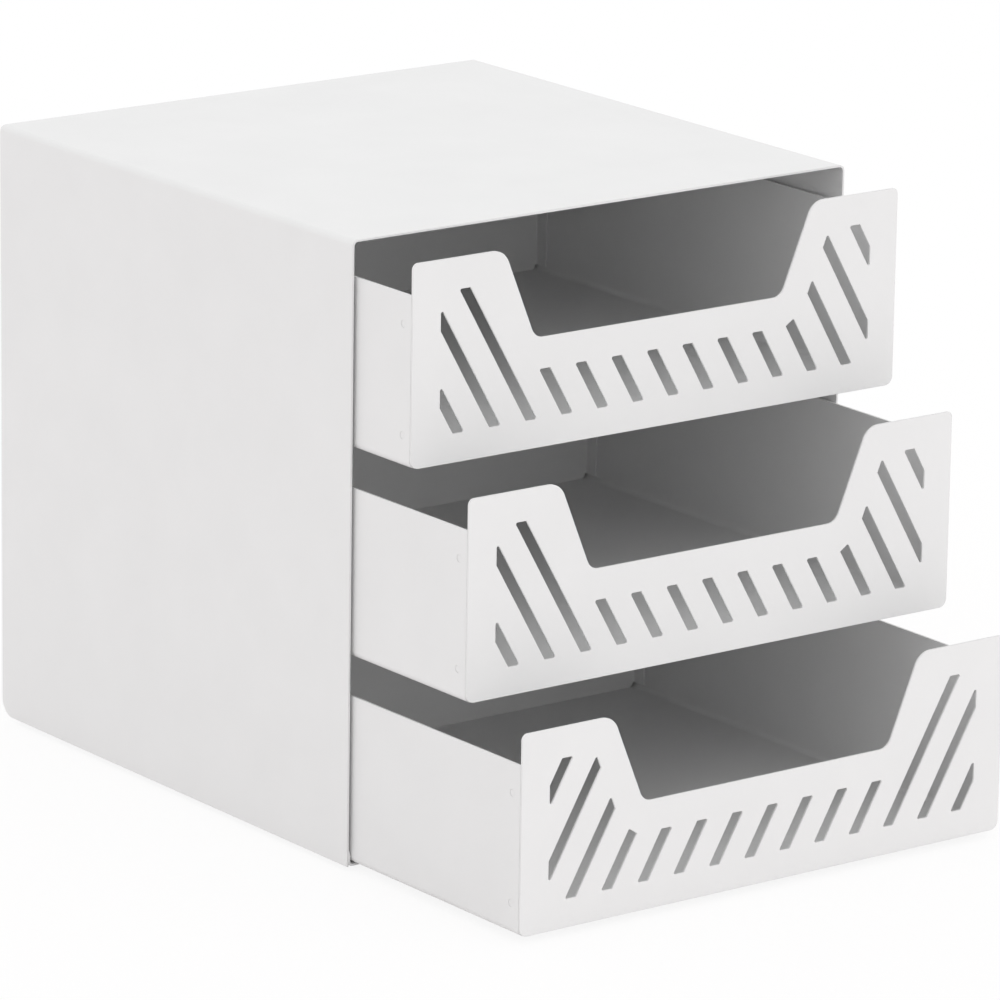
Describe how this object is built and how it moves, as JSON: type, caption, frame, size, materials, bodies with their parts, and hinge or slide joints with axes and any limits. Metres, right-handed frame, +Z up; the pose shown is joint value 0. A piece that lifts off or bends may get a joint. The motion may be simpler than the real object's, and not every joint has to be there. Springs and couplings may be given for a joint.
{
  "type": "desk drawer organizer",
  "caption": "Desktop organizer of folded white sheet steel: an open-fronted case with stacked sliding drawers whose slotted fronts have a wide finger notch.",
  "frame": {"origin": "on the desk, under the middle of the whole object with the drawers at their rest openings", "axes": "front and drawer opening direction -Y, +X to the right as seen from the front, +Z up"},
  "size_m": [0.242, 0.354, 0.2522],
  "materials": {
    "white_powder_coat": "satin",
    "foot_rubber": "matte"
  },
  "bodies": {
    "case": {"case_wrap": "white_powder_coat", "base_panel": "white_powder_coat", "back_panel": "white_powder_coat", "runner_middle_left": "white_powder_coat", "runner_middle_right": "white_powder_coat", "runner_top_left": "white_powder_coat", "runner_top_right": "white_powder_coat", "foot_front_left": "foot_rubber", "foot_front_right": "foot_rubber", "foot_rear_left": "foot_rubber", "foot_rear_right": "foot_rubber"},
    "drawer_bottom": {"drawer_bottom_front": "white_powder_coat", "drawer_bottom_pan": "white_powder_coat", "drawer_bottom_back": "white_powder_coat", "drawer_bottom_angle_left": "white_powder_coat", "drawer_bottom_angle_right": "white_powder_coat"},
    "drawer_middle": {"drawer_middle_front": "white_powder_coat", "drawer_middle_pan": "white_powder_coat", "drawer_middle_back": "white_powder_coat", "drawer_middle_angle_left": "white_powder_coat", "drawer_middle_angle_right": "white_powder_coat"},
    "drawer_top": {"drawer_top_front": "white_powder_coat", "drawer_top_pan": "white_powder_coat", "drawer_top_back": "white_powder_coat", "drawer_top_angle_left": "white_powder_coat", "drawer_top_angle_right": "white_powder_coat"}
  },
  "joints": [
    {"name": "drawer_bottom_slide", "type": "slide", "parent": "case", "child": "drawer_bottom", "axis": [0, -1, 0], "range_m": [-0.1086, 0.0514]},
    {"name": "drawer_middle_slide", "type": "slide", "parent": "case", "child": "drawer_middle", "axis": [0, -1, 0], "range_m": [-0.0731, 0.0869]},
    {"name": "drawer_top_slide", "type": "slide", "parent": "case", "child": "drawer_top", "axis": [0, -1, 0], "range_m": [-0.0359, 0.1241]}
  ]
}
